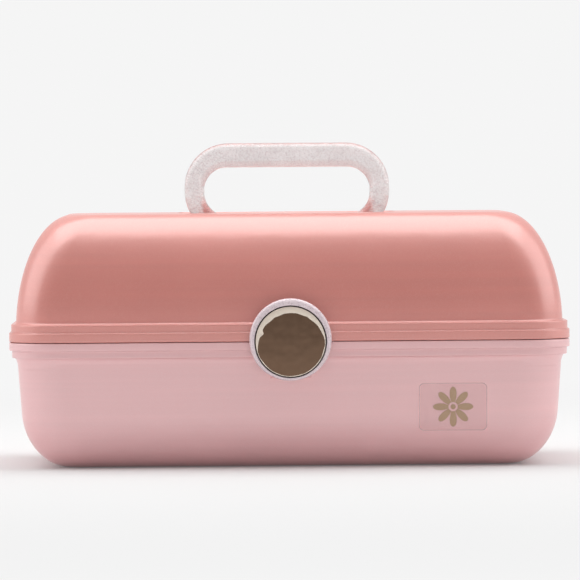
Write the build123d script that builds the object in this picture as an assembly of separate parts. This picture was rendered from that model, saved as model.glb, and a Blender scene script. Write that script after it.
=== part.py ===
from build123d import *
import os
from math import cos, radians, sin

# A hard makeup case: two moulded shells hinged at the back, a handle that folds into the lid,
# a round latch, a mirror in the lid and a tray that lifts out as the lid opens.
# Millimetres. X runs along the case, the front faces -Y, Z is up, and the origin is the middle
# of the flat face that the case stands on. Every piece is drawn where it sits with the lid shut.

# ---- The closed case
CASE_LENGTH = 330.0  # over the rim
CASE_DEPTH = 178.0  # over the rim
BASE_HEIGHT = 74.1  # standing face to the base's rim face
LID_HEIGHT = 74.3  # the lid's rim face to its flat top
RIM_GAP = 0.4  # between the two rim faces
RIM_CORNER = 30.0  # plan radius of the rim
RIM_OVERHANG = 4.0  # how far the rim stands proud of the walls
WALL = 2.2

# ---- Form of the lid: an upright wall, then an elliptic shoulder up to a flat top
LID_UPRIGHT = 6.3
LID_LEAN = 33.5
LID_TOP_CORNER = 16.0

# ---- Form of the base: drafted walls over an elliptic foot
BASE_DRAFT = 0.07
FOOT_RISE = 32.0
FOOT_LEAN = 25.4
FOOT_CORNER = 10.0
FORM_STEPS = 8  # sections in each elliptic stretch

# ---- Rim: two stepped bands and a cove on each shell
BAND_EDGE = 0.5
LID_BAND_1 = 5.0
LID_BAND_2 = 5.3
LID_BAND_2_OUT = 2.8
LID_COVE = 5.0
BASE_BAND_1 = 4.2
BASE_BAND_2 = 4.8
BASE_BAND_2_OUT = 2.4
BASE_COVE = 6.5
COVE_STEPS = 4
COVE_SINK = 1.2  # how far a cove's end runs under the wall's face

# ---- Tongue of the base, inside the lid's wall
TONGUE_HEIGHT = 2.2
TONGUE_THICK = 1.5
TONGUE_GAP = 0.5
TONGUE_ROOT = 5.0

# ---- Fits
RUNNING_FIT = 0.06  # radial, a pin that turns
PRESSED_FIT = 0.02  # radial, a pin that is held
SIDE_GAP = 0.3  # between faces that slide past each other
LOOSE_FIT = 0.3  # radial, the pivot where the tray's linkage is left open

# ---- Rear hinges
HINGE_SPACING = 180.0
KNUCKLE_RADIUS = 4.0
KNUCKLE_GAP = 0.5  # knuckle to the rim's back
LID_KNUCKLE = 18.0
BASE_KNUCKLE = 10.0
HINGE_PIN_RADIUS = 1.5
KNUCKLE_WEB = 4.6

# ---- Handle, its bracket and the recess in the lid that it folds into
HANDLE_LENGTH = 123.0
HANDLE_RISE = 49.2  # pivot to the top of the grip
HANDLE_GRIP = 14.6
HANDLE_SIDE = 12.0
HANDLE_DEPTH = 12.0
HANDLE_CORNER = 26.5
HANDLE_INNER_CORNER = 13.5
HANDLE_EDGE = 5.0
HANDLE_AXIS_DROP = 7.5  # pivot below the lid's top
BRACKET_LENGTH = 56.0
ROD_RADIUS = 2.0
ROD_GRIP = 12.0  # how far the rod runs into each end of the handle
RECESS_END_GAP = 2.0
RECESS_FRONT_GAP = 3.0
RECESS_FLOOR_GAP = 1.0
RECESS_CORNER = 6.0
RECESS_EDGE = 2.0  # slope round the recess's mouth
BRACKET_SCREW_SPACING = 28.0
SCREW_RADIUS = 1.5
SCREW_HEAD_RADIUS = 2.8
SCREW_HEAD = 1.8
BRACKET_SCREW_GRIP = 4.2

# ---- Mirror in the lid
MIRROR_LENGTH = 200.0
MIRROR_DEPTH = 90.0
MIRROR_THICK = 2.0
MIRROR_CORNER = 8.0
MIRROR_GAP = 0.2
FRAME_END_BORDER = 15.0
FRAME_LONG_BORDER = 10.5
FRAME_THICK = 4.0
FRAME_CORNER = 12.0
FRAME_DROP = 20.8  # the frame's back below the lid's top
FRAME_SCREW_IN = 9.0  # screws in from the frame's edge
FRAME_SCREW_GRIP = 12.0
FRAME_BOSS_RADIUS = 3.5

# ---- Latch
LATCH_RADIUS = 24.0
LATCH_DEPTH = 8.0
LATCH_RISE = 1.5  # centre above the seam
LATCH_STANDOFF = 2.0  # cap's back to the rim's front
LATCH_WALL = 2.2
LATCH_FRONT_EDGE = 2.4
LATCH_MIRROR_RADIUS = 21.0
LATCH_MIRROR_THICK = 1.8
LATCH_MIRROR_DROP = 1.2  # insert's centre below the cap's
LATCH_FLOOR = 2.0
LATCH_PIVOT_RISE = 4.0  # pivot above the cap's lowest point
LATCH_LUG = 15.4
LATCH_BARREL = 2.6
LATCH_EAR = 4.0
LATCH_EAR_ROOT = 1.0  # underside of the ear's root above its barrel's lowest point
LATCH_PIN_RADIUS = 1.25
HOOK_WIDTH = 16.0
HOOK_THICK = 3.5
CATCH_WIDTH = 18.0
CATCH_THICK = 3.4
CATCH_RISE = 6.0  # ridge above the lid's rim face
CATCH_OUT = 0.9  # ridge proud of the rim
HOOK_GAP = 0.4

# ---- Tray linkage: pivots given from the hinge axis, lid shut
ARM_SPAN = 60.0  # lid pivot in front of the hinge axis
ARM_LIFT = 8.5  # and above it
LINK_SPAN = 80.0  # base pivot in front of the hinge axis
LINK_DROP = 17.5  # and below it
ARM_THICK = 2.5
ARM_WIDTH = 9.0
ARM_WALL_ROOM = 7.9  # arm to the inside of the base's end wall
PIVOT_PIN_RADIUS = 1.5
PIVOT_HEAD_RADIUS = 3.0
PIVOT_HEAD = 1.0
PIVOT_BOSS_RADIUS = 4.5
PIVOT_PIN_GRIP = 5.5

# ---- Tray and its dividers
TRAY_HEIGHT = 26.0
TRAY_TOP_DROP = 2.5  # tray's edge below the seam
TRAY_FRONT_GAP = 7.5  # tray to the inside of the base's front wall
TRAY_BACK = 33.5  # tray's back edge in front of the hinge axis
TRAY_SIDE_GAP = 2.2  # tray to arm
TRAY_WALL = 1.8
TRAY_EDGE = 0.7  # rounding of the tray's top edge
TRAY_CORNER = 20.0
TRAY_MID_WALL = 64.5  # from the tray's front
TRAY_BAY_WALLS = (-50.0, 50.0)
TRAY_EAR_WIDTH = 12.0
TRAY_EAR_THICK = 3.0
TRAY_BOSS = 4.0
TRAY_BOSS_END = 1.0  # closed end of the boss, beyond its pin
DIVIDER_PLACES = (-72.0, 0.0, 72.0)
DIVIDER_THICK = 1.5
DIVIDER_HEIGHT = 20.0
GUIDE_RIB = 1.2
GUIDE_DEPTH = 2.0
GUIDE_GAP = 0.2

# ---- Label on the front
LABEL_LEFT = 75.0
LABEL_WIDTH = 40.0
LABEL_BOTTOM = 21.2
LABEL_HEIGHT = 28.0
LABEL_CORNER = 3.0
LABEL_THICK = 0.3

# ---- Places worked out from the sizes above
SEAM_Z = BASE_HEIGHT + RIM_GAP / 2
LID_RIM_Z = BASE_HEIGHT + RIM_GAP
TOP_Z = LID_RIM_Z + LID_HEIGHT
SHOULDER_Z = LID_RIM_Z + LID_UPRIGHT
WALL_CORNER = RIM_CORNER - RIM_OVERHANG
FRONT_Y = -CASE_DEPTH / 2
HINGE_Y = CASE_DEPTH / 2 + KNUCKLE_GAP + KNUCKLE_RADIUS
HINGE_Z = SEAM_Z
HANDLE_Z = TOP_Z - HANDLE_AXIS_DROP
RECESS_FLOOR_Z = HANDLE_Z - HANDLE_SIDE / 2 - RECESS_FLOOR_GAP
RECESS_UNDER_Z = RECESS_FLOOR_Z - WALL
FRAME_TOP_Z = TOP_Z - FRAME_DROP
FRAME_LENGTH = MIRROR_LENGTH + 2 * FRAME_END_BORDER
FRAME_DEPTH = MIRROR_DEPTH + 2 * FRAME_LONG_BORDER
LATCH_Z = SEAM_Z + LATCH_RISE
LATCH_MIRROR_Z = LATCH_Z - LATCH_MIRROR_DROP
LATCH_BACK_Y = FRONT_Y - LATCH_STANDOFF
LATCH_FRONT_Y = LATCH_BACK_Y - LATCH_DEPTH
LATCH_SEAT_Y = LATCH_FRONT_Y + LATCH_MIRROR_THICK
LATCH_FLOOR_Y = LATCH_SEAT_Y + LATCH_FLOOR
LATCH_PIVOT_Z = LATCH_Z - LATCH_RADIUS + LATCH_PIVOT_RISE
CATCH_Z = LID_RIM_Z + CATCH_RISE
LID_PIVOT = (HINGE_Y - ARM_SPAN, HINGE_Z + ARM_LIFT)
BASE_PIVOT = (HINGE_Y - LINK_SPAN, HINGE_Z - LINK_DROP)
TRAY_PIVOT = (BASE_PIVOT[0] - ARM_SPAN, BASE_PIVOT[1] + ARM_LIFT)
BASE_INSIDE_X = CASE_LENGTH / 2 - RIM_OVERHANG - WALL - BASE_DRAFT * (BASE_HEIGHT - BASE_PIVOT[1])
ARM_OUT_X = BASE_INSIDE_X - ARM_WALL_ROOM
ARM_IN_X = ARM_OUT_X - ARM_THICK
TRAY_X = ARM_IN_X - TRAY_SIDE_GAP
TRAY_TOP_Z = SEAM_Z - TRAY_TOP_DROP
TRAY_Z = TRAY_TOP_Z - TRAY_HEIGHT
BASE_INSIDE_Y = CASE_DEPTH / 2 - RIM_OVERHANG - WALL - BASE_DRAFT * (BASE_HEIGHT - TRAY_Z)
TRAY_FRONT_Y = -BASE_INSIDE_Y + TRAY_FRONT_GAP
TRAY_BACK_Y = HINGE_Y - TRAY_BACK
MID_WALL_Y = TRAY_FRONT_Y + TRAY_MID_WALL


def block(x0, x1, y0, y1, z0, z1):
    """A box from its lowest to its highest corner."""
    return Pos((x0 + x1) / 2, (y0 + y1) / 2, (z0 + z1) / 2) * Box(x1 - x0, y1 - y0, z1 - z0)


def rod(radius, x0, x1, y, z):
    """A round bar along X."""
    return Pos((x0 + x1) / 2, y, z) * Rot(0, 90, 0) * Cylinder(radius, x1 - x0)


def disc(radius, y0, y1, x, z):
    """A round bar along Y."""
    return Pos(x, (y0 + y1) / 2, z) * Rot(90, 0, 0) * Cylinder(radius, y1 - y0)


def post(radius, x, y, z0, z1):
    """A round bar along Z."""
    return Pos(x, y, (z0 + z1) / 2) * Cylinder(radius, z1 - z0)


def plate(length, depth, corner, x, y, z0, z1):
    """A flat plate with rounded corners in plan."""
    return extrude(Pos(x, y, z0) * RectangleRounded(length, depth, corner), z1 - z0)


def outline(z, inset, corner):
    """The case's plan at height z, inset from the rim's edge."""
    return Pos(0, 0, z) * RectangleRounded(CASE_LENGTH - 2 * inset, CASE_DEPTH - 2 * inset, corner)


def rim_slab(z0, z1, inset):
    """A slab with the rim's plan, inset from its edge."""
    return extrude(outline(z0, inset, RIM_CORNER - inset), z1 - z0)


def lid_form(shrink):
    """The lid's solid form, with shrink for its inside."""
    start = RIM_OVERHANG + shrink
    rise = TOP_Z - shrink - SHOULDER_Z
    sections = []
    for step in range(FORM_STEPS + 1):
        turn = radians(90 * step / FORM_STEPS)
        lean = 1 - cos(turn)
        corner = WALL_CORNER - shrink - (WALL_CORNER - LID_TOP_CORNER) * lean
        sections.append(outline(SHOULDER_Z + rise * sin(turn), start + LID_LEAN * lean, corner))
    return rim_slab(LID_RIM_Z, SHOULDER_Z, start) + loft(sections)


def base_inset(z, shrink):
    """How far the base's drafted wall lies inside the rim's edge."""
    return RIM_OVERHANG + shrink + BASE_DRAFT * (BASE_HEIGHT - z)


def base_form(shrink):
    """The base's solid form, with shrink for its inside."""
    sections = []
    for step in range(FORM_STEPS + 1):
        turn = radians(90 - 90 * step / FORM_STEPS)
        lean = 1 - cos(turn)
        z = shrink + (FOOT_RISE - shrink) * (1 - sin(turn))
        corner = WALL_CORNER - shrink - (WALL_CORNER - FOOT_CORNER) * lean
        sections.append(outline(z, base_inset(z, shrink) + FOOT_LEAN * lean, corner))
    top = outline(BASE_HEIGHT, base_inset(BASE_HEIGHT, shrink), WALL_CORNER - shrink)
    return loft(sections) + loft([sections[-1], top], ruled=True)


def band(z0, z1, out):
    """A band round the case, standing out from the wall, with its edges eased."""
    slab = rim_slab(z0, z1, RIM_OVERHANG - out)
    ends = slab.faces().sort_by(Axis.Z)
    return fillet(ends[0].edges() + ends[-1].edges(), BAND_EDGE)


def cove(z_band, z_wall, out):
    """The hollow sweep from a band's face to the wall."""
    sections = []
    for step in range(COVE_STEPS + 1):
        turn = radians(90 * step / COVE_STEPS)
        reach = out - (out + COVE_SINK) * sin(turn)
        z = z_band + (z_wall - z_band) * (1 - cos(turn))
        inset = RIM_OVERHANG - reach
        sections.append(outline(z, inset, RIM_CORNER - inset))
    if z_wall < z_band:
        sections.reverse()
    return loft(sections)


def hinge_knuckles(x0, x1, web_z0, web_z1):
    """One hinge barrel with the web that joins it to the rim's back."""
    web = block(x0, x1, CASE_DEPTH / 2 - RIM_OVERHANG / 2, HINGE_Y, web_z0, web_z1)
    return rod(KNUCKLE_RADIUS, x0, x1, HINGE_Y, HINGE_Z) + web


def hinge_spans(centre):
    """X spans of a hinge's lid barrel and of its two base barrels."""
    lid_half = LID_KNUCKLE / 2
    inner = lid_half + SIDE_GAP
    outer = inner + BASE_KNUCKLE
    lid_span = (centre - lid_half, centre + lid_half)
    base_spans = [(centre - outer, centre - inner), (centre + inner, centre + outer)]
    return lid_span, base_spans


def both_ends(part):
    """A right-hand feature and its left-hand twin."""
    return part + mirror(part, about=Plane.YZ)


def recess_size():
    """Length, depth and centre of the handle's recess in the lid's top."""
    length = HANDLE_LENGTH + 2 * RECESS_END_GAP
    y0 = -HANDLE_DEPTH / 2 - RECESS_FRONT_GAP
    y1 = HANDLE_RISE + RECESS_END_GAP
    return length, y1 - y0, (y0 + y1) / 2


def recess_mouth(length, depth, y):
    """The slope from the lid's top down to the recess's walls."""
    sections = []
    for reach in (-RECESS_EDGE, RECESS_EDGE):
        grow = RECESS_EDGE + reach
        mouth = RectangleRounded(length + 2 * grow, depth + 2 * grow, RECESS_CORNER + grow)
        sections.append(Pos(0, y, TOP_Z + reach) * mouth)
    return loft(sections, ruled=True)


def bracket_screw_places():
    return [(x, 0.0) for x in (-BRACKET_SCREW_SPACING / 2, BRACKET_SCREW_SPACING / 2)]


def frame_screw_places():
    x = FRAME_LENGTH / 2 - FRAME_SCREW_IN
    y = FRAME_DEPTH / 2 - FRAME_SCREW_IN
    return [(-x, -y), (x, -y), (-x, y), (x, y)]


def make_lid_shell():
    band_1 = LID_RIM_Z + LID_BAND_1
    band_2 = band_1 + LID_BAND_2
    shell = lid_form(0) + band(LID_RIM_Z, band_1 + BAND_EDGE, RIM_OVERHANG)
    shell += band(LID_RIM_Z, band_2, LID_BAND_2_OUT)
    shell += cove(band_2 - BAND_EDGE, band_2 + LID_COVE, LID_BAND_2_OUT - BAND_EDGE)
    shell -= lid_form(WALL)

    length, depth, y = recess_size()
    corner = RECESS_CORNER + WALL
    shell += plate(length + 2 * WALL, depth + 2 * WALL, corner, 0, y, RECESS_UNDER_Z, TOP_Z - WALL / 2)
    shell -= plate(length, depth, RECESS_CORNER, 0, y, RECESS_FLOOR_Z, TOP_Z + WALL)
    shell -= recess_mouth(length, depth, y)
    for x, y in bracket_screw_places():
        shell -= post(SCREW_RADIUS + LOOSE_FIT, x, y, RECESS_UNDER_Z - WALL, TOP_Z)

    for x, y in frame_screw_places():
        shell += post(FRAME_BOSS_RADIUS, x, y, FRAME_TOP_Z, TOP_Z - WALL / 2)
        shell -= post(SCREW_RADIUS + PRESSED_FIT, x, y, FRAME_TOP_Z, FRAME_TOP_Z + FRAME_SCREW_GRIP)

    inside_x = CASE_LENGTH / 2 - RIM_OVERHANG - WALL
    boss = rod(PIVOT_BOSS_RADIUS, TRAY_X + SIDE_GAP, inside_x + WALL / 2, *LID_PIVOT)
    shell += both_ends(boss)
    bore = rod(PIVOT_PIN_RADIUS + PRESSED_FIT, TRAY_X, TRAY_X + SIDE_GAP + PIVOT_PIN_GRIP, *LID_PIVOT)
    shell -= both_ends(bore)

    for centre in (-HINGE_SPACING / 2, HINGE_SPACING / 2):
        (x0, x1), _ = hinge_spans(centre)
        shell += hinge_knuckles(x0, x1, LID_RIM_Z + RIM_GAP, LID_RIM_Z + RIM_GAP + KNUCKLE_WEB)
        shell -= rod(HINGE_PIN_RADIUS + RUNNING_FIT, x0, x1, HINGE_Y, HINGE_Z)

    half = CATCH_WIDTH / 2
    ridge_y = FRONT_Y - CATCH_OUT
    return shell + block(-half, half, ridge_y, FRONT_Y + RIM_OVERHANG, CATCH_Z, CATCH_Z + CATCH_THICK)


def make_base_shell():
    band_1 = BASE_HEIGHT - BASE_BAND_1
    band_2 = band_1 - BASE_BAND_2
    shell = base_form(0) + band(band_1 - BAND_EDGE, BASE_HEIGHT, RIM_OVERHANG)
    shell += band(band_2, BASE_HEIGHT, BASE_BAND_2_OUT)
    shell += cove(band_2 + BAND_EDGE, band_2 - BASE_COVE, BASE_BAND_2_OUT - BAND_EDGE)
    shell -= base_form(WALL)

    tongue_out = RIM_OVERHANG + WALL + TONGUE_GAP
    tongue = rim_slab(BASE_HEIGHT - TONGUE_ROOT, BASE_HEIGHT, RIM_OVERHANG + WALL / 2)
    tongue += rim_slab(BASE_HEIGHT, BASE_HEIGHT + TONGUE_HEIGHT, tongue_out)
    inside_z = BASE_HEIGHT - 2 * TONGUE_ROOT
    shell += tongue - rim_slab(inside_z, BASE_HEIGHT + 2 * TONGUE_HEIGHT, tongue_out + TONGUE_THICK)

    boss = rod(PIVOT_BOSS_RADIUS, ARM_OUT_X + SIDE_GAP, BASE_INSIDE_X + WALL / 2, *BASE_PIVOT)
    shell += both_ends(boss)
    bore = rod(PIVOT_PIN_RADIUS + PRESSED_FIT, ARM_OUT_X, ARM_OUT_X + SIDE_GAP + PIVOT_PIN_GRIP, *BASE_PIVOT)
    shell -= both_ends(bore)

    for centre in (-HINGE_SPACING / 2, HINGE_SPACING / 2):
        _, spans = hinge_spans(centre)
        for x0, x1 in spans:
            web_top = BASE_HEIGHT - RIM_GAP
            shell += hinge_knuckles(x0, x1, web_top - KNUCKLE_WEB, web_top)
            shell -= rod(HINGE_PIN_RADIUS + PRESSED_FIT, x0, x1, HINGE_Y, HINGE_Z)

    ear_in = LATCH_LUG / 2 + SIDE_GAP
    ear_out = ear_in + LATCH_EAR
    wall_y = FRONT_Y + base_inset(LATCH_PIVOT_Z, WALL / 2)
    ear = rod(LATCH_BARREL, ear_in, ear_out, LATCH_BACK_Y, LATCH_PIVOT_Z)
    web_z = LATCH_PIVOT_Z - LATCH_BARREL + LATCH_EAR_ROOT
    ear += block(ear_in, ear_out, LATCH_BACK_Y, wall_y, web_z, web_z + 2 * LATCH_BARREL)
    ear -= rod(LATCH_PIN_RADIUS + PRESSED_FIT, ear_in, ear_out, LATCH_BACK_Y, LATCH_PIVOT_Z)
    return shell + both_ends(ear)


def make_hinge_pin(centre):
    _, spans = hinge_spans(centre)
    return rod(HINGE_PIN_RADIUS, spans[0][0], spans[1][1], HINGE_Y, HINGE_Z)


def make_handle():
    """A C-shaped loop whose two ends turn in towards the bracket."""
    low = HANDLE_Z - HANDLE_SIDE / 2
    high = HANDLE_Z + HANDLE_RISE
    hole_low = low + HANDLE_SIDE
    hole_high = high - HANDLE_GRIP
    face = Pos(0, (low + high) / 2) * RectangleRounded(HANDLE_LENGTH, high - low, HANDLE_CORNER)
    hole = RectangleRounded(HANDLE_LENGTH - 2 * HANDLE_SIDE, hole_high - hole_low, HANDLE_INNER_CORNER)
    face -= Pos(0, (hole_low + hole_high) / 2) * hole
    gap = BRACKET_LENGTH + 2 * SIDE_GAP
    face -= Pos(0, low + HANDLE_SIDE / 2) * Rectangle(gap, 2 * HANDLE_SIDE)
    loop = extrude(Plane.XZ * face, HANDLE_DEPTH / 2, both=True)
    long_edges = loop.edges().filter_by(Axis.Y, reverse=True)
    loop = fillet(long_edges, HANDLE_EDGE)
    half = BRACKET_LENGTH / 2
    return loop - rod(ROD_RADIUS + PRESSED_FIT, -half - ROD_GRIP, half + ROD_GRIP, 0, HANDLE_Z)


def make_handle_rod():
    half = BRACKET_LENGTH / 2 + ROD_GRIP
    return rod(ROD_RADIUS, -half, half, 0, HANDLE_Z)


def make_handle_bracket():
    half = BRACKET_LENGTH / 2
    deep = HANDLE_DEPTH / 2
    body = block(-half, half, -deep, deep, RECESS_FLOOR_Z, HANDLE_Z)
    body += rod(deep, -half, half, 0, HANDLE_Z)
    body -= rod(ROD_RADIUS + RUNNING_FIT, -half, half, 0, HANDLE_Z)
    for x, y in bracket_screw_places():
        body -= post(SCREW_RADIUS + PRESSED_FIT, x, y, RECESS_UNDER_Z, RECESS_FLOOR_Z + BRACKET_SCREW_GRIP)
    return body


def screw(x, y, seat_z, grip):
    """A pan head screw driven upwards, its head seated under seat_z."""
    shank = post(SCREW_RADIUS, x, y, seat_z - SCREW_HEAD / 2, seat_z + grip)
    return shank + post(SCREW_HEAD_RADIUS, x, y, seat_z - SCREW_HEAD, seat_z)


def make_handle_screws():
    return [screw(x, y, RECESS_UNDER_Z, WALL + BRACKET_SCREW_GRIP) for x, y in bracket_screw_places()]


def make_mirror_frame():
    under_z = FRAME_TOP_Z - FRAME_THICK
    panel = plate(FRAME_LENGTH, FRAME_DEPTH, FRAME_CORNER, 0, 0, under_z, FRAME_TOP_Z)
    length = MIRROR_LENGTH + 2 * MIRROR_GAP
    depth = MIRROR_DEPTH + 2 * MIRROR_GAP
    panel -= plate(length, depth, MIRROR_CORNER + MIRROR_GAP, 0, 0, under_z, under_z + MIRROR_THICK)
    for x, y in frame_screw_places():
        panel -= post(SCREW_RADIUS + MIRROR_GAP, x, y, under_z, FRAME_TOP_Z)
        panel -= post(SCREW_HEAD_RADIUS + MIRROR_GAP, x, y, under_z, under_z + SCREW_HEAD)
    return panel


def make_mirror_glass():
    under_z = FRAME_TOP_Z - FRAME_THICK
    return plate(MIRROR_LENGTH, MIRROR_DEPTH, MIRROR_CORNER, 0, 0, under_z, under_z + MIRROR_THICK)


def make_mirror_screws():
    seat_z = FRAME_TOP_Z - FRAME_THICK + SCREW_HEAD
    grip = FRAME_THICK - SCREW_HEAD + FRAME_SCREW_GRIP
    return [screw(x, y, seat_z, grip) for x, y in frame_screw_places()]


def make_latch_body():
    """A round cap, hollow at the back, with a barrel for its pin and a hook over the ridge."""
    cap = disc(LATCH_RADIUS, LATCH_FRONT_Y, LATCH_BACK_Y, 0, LATCH_Z)
    cap = fillet(cap.faces().sort_by(Axis.Y)[0].edges(), LATCH_FRONT_EDGE)
    cap -= disc(LATCH_MIRROR_RADIUS + MIRROR_GAP, LATCH_FRONT_Y, LATCH_SEAT_Y, 0, LATCH_MIRROR_Z)
    cap -= disc(LATCH_RADIUS - LATCH_WALL, LATCH_FLOOR_Y, LATCH_BACK_Y, 0, LATCH_Z)
    ear_room = LATCH_LUG / 2 + LATCH_EAR + 2 * SIDE_GAP
    notch_y = LATCH_BACK_Y - LATCH_BARREL - 2 * SIDE_GAP
    notch_z = LATCH_PIVOT_Z + LATCH_BARREL + 2 * SIDE_GAP
    cap -= block(-ear_room, ear_room, notch_y, LATCH_BACK_Y, LATCH_Z - LATCH_RADIUS, notch_z)
    half = LATCH_LUG / 2
    root_y = LATCH_FLOOR_Y - LATCH_FLOOR / 2
    low = LATCH_PIVOT_Z - LATCH_BARREL
    cap += rod(LATCH_BARREL, -half, half, LATCH_BACK_Y, LATCH_PIVOT_Z)
    cap += block(-half, half, root_y, LATCH_BACK_Y, low, low + 2 * LATCH_BARREL)
    cap -= rod(LATCH_PIN_RADIUS + RUNNING_FIT, -half, half, LATCH_BACK_Y, LATCH_PIVOT_Z)
    half = HOOK_WIDTH / 2
    hook_z = CATCH_Z + CATCH_THICK + HOOK_GAP
    nose_y = FRONT_Y - CATCH_OUT - HOOK_GAP
    return cap + block(-half, half, root_y, nose_y, hook_z, hook_z + HOOK_THICK)


def make_latch_mirror():
    insert = disc(LATCH_MIRROR_RADIUS, LATCH_FRONT_Y, LATCH_SEAT_Y, 0, LATCH_MIRROR_Z)
    return chamfer(insert.faces().sort_by(Axis.Y)[0].edges(), LATCH_MIRROR_THICK / 3)


def make_latch_pin():
    half = LATCH_LUG / 2 + SIDE_GAP + LATCH_EAR
    return rod(LATCH_PIN_RADIUS, -half, half, LATCH_BACK_Y, LATCH_PIVOT_Z)


def tray_slab(inset, z0, z1):
    """A slab with the tray's plan, inset from its outside."""
    depth = TRAY_BACK_Y - TRAY_FRONT_Y
    middle = (TRAY_BACK_Y + TRAY_FRONT_Y) / 2
    corner = TRAY_CORNER - inset
    return plate(2 * (TRAY_X - inset), depth - 2 * inset, corner, 0, middle, z0, z1)


def make_tray():
    floor_z = TRAY_Z + TRAY_WALL
    tray = tray_slab(0, TRAY_Z, TRAY_TOP_Z) - tray_slab(TRAY_WALL, floor_z, TRAY_TOP_Z)
    tray = fillet(tray.faces().sort_by(Axis.Z)[-1].edges(), TRAY_EDGE)
    inside_x = TRAY_X - TRAY_WALL / 2
    tray += block(-inside_x, inside_x, MID_WALL_Y, MID_WALL_Y + TRAY_WALL, floor_z, TRAY_TOP_Z - TRAY_WALL)
    for x in TRAY_BAY_WALLS:
        half = TRAY_WALL / 2
        front_y = TRAY_FRONT_Y + TRAY_WALL / 2
        tray += block(x - half, x + half, front_y, MID_WALL_Y, floor_z, TRAY_TOP_Z - TRAY_WALL)

    rib_top = floor_z + DIVIDER_HEIGHT
    rib_in = DIVIDER_THICK / 2 + GUIDE_GAP
    walls = ((MID_WALL_Y + TRAY_WALL / 2, MID_WALL_Y + TRAY_WALL + GUIDE_DEPTH),
             (TRAY_BACK_Y - TRAY_WALL - GUIDE_DEPTH, TRAY_BACK_Y - TRAY_WALL / 2))
    for x in DIVIDER_PLACES:
        for y0, y1 in walls:
            tray += block(x + rib_in, x + rib_in + GUIDE_RIB, y0, y1, floor_z, rib_top)
            tray += block(x - rib_in - GUIDE_RIB, x - rib_in, y0, y1, floor_z, rib_top)

    ear_in = TRAY_X - TRAY_EAR_THICK
    y, z = LID_PIVOT
    half = TRAY_EAR_WIDTH / 2
    ear = rod(half, ear_in, TRAY_X, y, z) + block(ear_in, TRAY_X, y - half, y + half, floor_z, z)
    ear -= rod(PIVOT_PIN_RADIUS + RUNNING_FIT, ear_in, TRAY_X, y, z)
    tray += both_ends(ear)

    boss_in = TRAY_X - TRAY_WALL - TRAY_BOSS
    tray += both_ends(rod(PIVOT_BOSS_RADIUS, boss_in, TRAY_X - TRAY_WALL / 2, *TRAY_PIVOT))
    bore = rod(PIVOT_PIN_RADIUS + PRESSED_FIT, boss_in + TRAY_BOSS_END, TRAY_X, *TRAY_PIVOT)
    return tray - both_ends(bore)


def make_divider(x):
    half = DIVIDER_THICK / 2
    y0 = MID_WALL_Y + TRAY_WALL + GUIDE_GAP
    y1 = TRAY_BACK_Y - TRAY_WALL - GUIDE_GAP
    floor_z = TRAY_Z + TRAY_WALL
    return block(x - half, x + half, y0, y1, floor_z, floor_z + DIVIDER_HEIGHT)


def make_arm():
    """A flat link from the base's pivot to the tray's, on the right-hand end."""
    path = Line(BASE_PIVOT, TRAY_PIVOT)
    bar = extrude(Plane.YZ * SlotCenterToCenter(path.length, ARM_WIDTH, rotation=0), ARM_THICK)
    turn = (path @ 1 - path @ 0).get_signed_angle(Vector(1, 0, 0), Vector(0, 0, 1))
    middle = path @ 0.5
    bar = Pos(ARM_IN_X, middle.X, middle.Y) * Rot(-turn, 0, 0) * bar
    bar -= rod(PIVOT_PIN_RADIUS + RUNNING_FIT, ARM_IN_X, ARM_OUT_X, *BASE_PIVOT)
    return bar - rod(PIVOT_PIN_RADIUS + LOOSE_FIT, ARM_IN_X, ARM_OUT_X, *TRAY_PIVOT)


def headed_pin(head_x, seat_x, end_x, pivot):
    """A rivet along X: its head from head_x to seat_x, its shank on to end_x."""
    head = rod(PIVOT_HEAD_RADIUS, min(head_x, seat_x), max(head_x, seat_x), *pivot)
    return head + rod(PIVOT_PIN_RADIUS, min(head_x, end_x), max(head_x, end_x), *pivot)


def make_arm_base_pin():
    seat_x = ARM_IN_X - SIDE_GAP
    return headed_pin(seat_x - PIVOT_HEAD, seat_x, ARM_OUT_X + SIDE_GAP + PIVOT_PIN_GRIP, BASE_PIVOT)


def make_arm_tray_pin():
    seat_x = ARM_OUT_X + SIDE_GAP
    end_x = TRAY_X - TRAY_WALL - TRAY_BOSS + TRAY_BOSS_END
    return headed_pin(seat_x + PIVOT_HEAD, seat_x, end_x, TRAY_PIVOT)


def make_tray_lid_pin():
    seat_x = TRAY_X - TRAY_EAR_THICK - SIDE_GAP
    return headed_pin(seat_x - PIVOT_HEAD, seat_x, TRAY_X + SIDE_GAP + PIVOT_PIN_GRIP, LID_PIVOT)


def make_front_label():
    """A thin clear film that follows the base's front."""
    x = LABEL_LEFT + LABEL_WIDTH / 2
    z = LABEL_BOTTOM + LABEL_HEIGHT / 2
    outline_face = Pos(x, z) * RectangleRounded(LABEL_WIDTH, LABEL_HEIGHT, LABEL_CORNER)
    reach = extrude(Plane.XZ * outline_face, CASE_DEPTH)
    return (base_form(-LABEL_THICK) & reach) - base_form(0)


def write(name, shape):
    """Write one piece, or a group of like pieces, as a STEP file."""
    if isinstance(shape, list):
        shape = Compound(children=shape)
    shape.label = name
    export_step(shape, os.path.join("parts", name + ".step"))


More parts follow.
